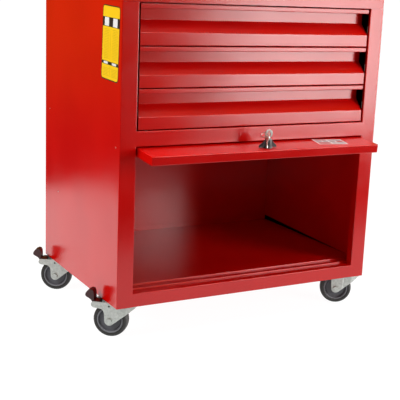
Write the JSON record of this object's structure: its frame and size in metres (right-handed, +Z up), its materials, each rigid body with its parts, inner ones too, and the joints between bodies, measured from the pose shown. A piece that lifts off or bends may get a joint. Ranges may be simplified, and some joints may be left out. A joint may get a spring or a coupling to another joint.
{
  "type": "rolling tool chest",
  "caption": "Red sheet-steel rolling tool chest: drawers with sloped finger-pull fronts over a shelf compartment with a locking slide-in door, on swivel casters with brakes.",
  "frame": {"origin": "on the floor under the middle of the whole chest, with the stowed door edge in front and the brake pedals at the left counted in", "axes": "+Z up, +X to the right of someone facing the drawers, +Y towards the back"},
  "size_m": [0.7387, 0.542, 0.7823],
  "materials": {
    "red_paint": "satin-gloss red powder coat with fine orange peel",
    "zinc": "bright zinc-plated pressed steel",
    "nickel": "nickel-plated key blank",
    "black_plastic": "satin black moulded plastic",
    "white_nylon": "natural nylon",
    "grey_plastic": "grey moulded plastic",
    "tyre_rubber": "dark rubber",
    "brake_plastic": "dark brown-red moulded plastic"
  },
  "bodies": {
    "cabinet": {"back_panel": "red_paint", "base_pan": "red_paint", "bottom_rail": "red_paint", "caster_plate_front_left": "zinc", "caster_plate_front_right": "zinc", "caster_plate_rear_left": "zinc", "caster_plate_rear_right": "zinc", "cross_rail": "red_paint", "divider_panel": "red_paint", "door_track_left": "zinc", "door_track_right": "zinc", "drawer_1_slide_outer_left": "zinc", "drawer_1_slide_outer_right": "zinc", "drawer_2_slide_outer_left": "zinc", "drawer_2_slide_outer_right": "zinc", "drawer_3_slide_outer_left": "zinc", "drawer_3_slide_outer_right": "zinc", "shelf_floor": "red_paint", "side_panel_left": "red_paint", "side_panel_right": "red_paint", "top_cap": "red_paint"},
    "drawer_1": {"drawer_1_front": "red_paint", "drawer_1_tray": "red_paint", "drawer_1_slide_inner_left": "zinc", "drawer_1_slide_inner_right": "zinc"},
    "drawer_2": {"drawer_2_front": "red_paint", "drawer_2_tray": "red_paint", "drawer_2_slide_inner_left": "zinc", "drawer_2_slide_inner_right": "zinc"},
    "drawer_3": {"drawer_3_front": "red_paint", "drawer_3_tray": "red_paint", "drawer_3_slide_inner_left": "zinc", "drawer_3_slide_inner_right": "zinc"},
    "door_carriage": {"door_hinge_rod": "zinc", "door_roller_left": "white_nylon", "door_roller_right": "white_nylon"},
    "door": {"door_panel": "red_paint"},
    "lock": {"lock_knob": "black_plastic", "door_key": "nickel", "lock_cam": "zinc", "key_ring": "nickel"},
    "spare_key": {"spare_key": "nickel"},
    "swivel_front_left": {"caster_fork_front_left": "zinc", "axle_bolt_front_left": "zinc"},
    "wheel_front_left": {"wheel_hub_front_left": "grey_plastic", "tyre_front_left": "tyre_rubber"},
    "swivel_rear_left": {"caster_fork_rear_left": "zinc", "axle_bolt_rear_left": "zinc"},
    "wheel_rear_left": {"wheel_hub_rear_left": "grey_plastic", "tyre_rear_left": "tyre_rubber"},
    "swivel_front_right": {"caster_fork_front_right": "zinc", "axle_bolt_front_right": "zinc"},
    "wheel_front_right": {"wheel_hub_front_right": "grey_plastic", "tyre_front_right": "tyre_rubber"},
    "swivel_rear_right": {"caster_fork_rear_right": "zinc", "axle_bolt_rear_right": "zinc"},
    "wheel_rear_right": {"wheel_hub_rear_right": "grey_plastic", "tyre_rear_right": "tyre_rubber"},
    "brake_front_left": {"brake_pedal_front_left": "brake_plastic"},
    "brake_rear_left": {"brake_pedal_rear_left": "brake_plastic"}
  },
  "joints": [
    {"name": "drawer_1_slide", "type": "slide", "parent": "cabinet", "child": "drawer_1", "axis": [0, -1, 0], "range_m": [0, 0.3]},
    {"name": "drawer_2_slide", "type": "slide", "parent": "cabinet", "child": "drawer_2", "axis": [0, -1, 0], "range_m": [0, 0.3]},
    {"name": "drawer_3_slide", "type": "slide", "parent": "cabinet", "child": "drawer_3", "axis": [0, -1, 0], "range_m": [0, 0.3]},
    {"name": "door_slide", "type": "slide", "parent": "cabinet", "child": "door_carriage", "axis": [0, -0.996, -0.0889], "range_m": [-0.03, 0.23256]},
    {"name": "door_swing", "type": "hinge", "parent": "door_carriage", "child": "door", "pos_m": [-0.32881, 0.04441, 0.45312], "axis": [1, 0, 0], "range_deg": [0, 84.9]},
    {"name": "lock_turn", "type": "hinge", "parent": "door", "child": "lock", "pos_m": [0.01119, -0.24732, 0.43712], "axis": [0, 0.0889, -0.996], "range_deg": [0, 90]},
    {"name": "spare_key_swing", "type": "hinge", "parent": "lock", "child": "spare_key", "pos_m": [0.00135, -0.26004, 0.46716], "axis": [-1, 0, 0], "range_deg": [0, 95]},
    {"name": "swivel_front_left_turn", "type": "hinge", "parent": "cabinet", "child": "swivel_front_left", "pos_m": [-0.30331, -0.14523, 0.08305], "axis": [0, 0, 1], "range_deg": [-5, 80]},
    {"name": "wheel_front_left_spin", "type": "hinge", "parent": "swivel_front_left", "child": "wheel_front_left", "pos_m": [-0.31327, -0.13687, 0.03985], "axis": [0.6428, 0.766, 0], "continuous": true},
    {"name": "swivel_rear_left_turn", "type": "hinge", "parent": "cabinet", "child": "swivel_rear_left", "pos_m": [-0.30331, 0.21677, 0.08305], "axis": [0, 0, 1], "range_deg": [-12, 73]},
    {"name": "wheel_rear_left_spin", "type": "hinge", "parent": "swivel_rear_left", "child": "wheel_rear_left", "pos_m": [-0.31421, 0.22385, 0.03985], "axis": [0.5446, 0.8387, 0], "continuous": true},
    {"name": "swivel_front_right_turn", "type": "hinge", "parent": "cabinet", "child": "swivel_front_right", "pos_m": [0.32569, -0.14523, 0.08305], "axis": [0, 0, 1], "continuous": true},
    {"name": "wheel_front_right_spin", "type": "hinge", "parent": "swivel_front_right", "child": "wheel_front_right", "pos_m": [0.31479, -0.13815, 0.03985], "axis": [0.5446, 0.8387, 0], "continuous": true},
    {"name": "swivel_rear_right_turn", "type": "hinge", "parent": "cabinet", "child": "swivel_rear_right", "pos_m": [0.32569, 0.21677, 0.08305], "axis": [0, 0, 1], "continuous": true},
    {"name": "wheel_rear_right_spin", "type": "hinge", "parent": "swivel_rear_right", "child": "wheel_rear_right", "pos_m": [0.31544, 0.22478, 0.03985], "axis": [0.6157, 0.788, 0], "continuous": true},
    {"name": "brake_front_left_press", "type": "hinge", "parent": "swivel_front_left", "child": "brake_front_left", "pos_m": [-0.33702, -0.11694, 0.07605], "axis": [-0.6428, -0.766, 0], "range_deg": [0, 12]},
    {"name": "brake_rear_left_press", "type": "hinge", "parent": "swivel_rear_left", "child": "brake_rear_left", "pos_m": [-0.34021, 0.24074, 0.07605], "axis": [-0.5446, -0.8387, 0], "range_deg": [0, 12]}
  ]
}
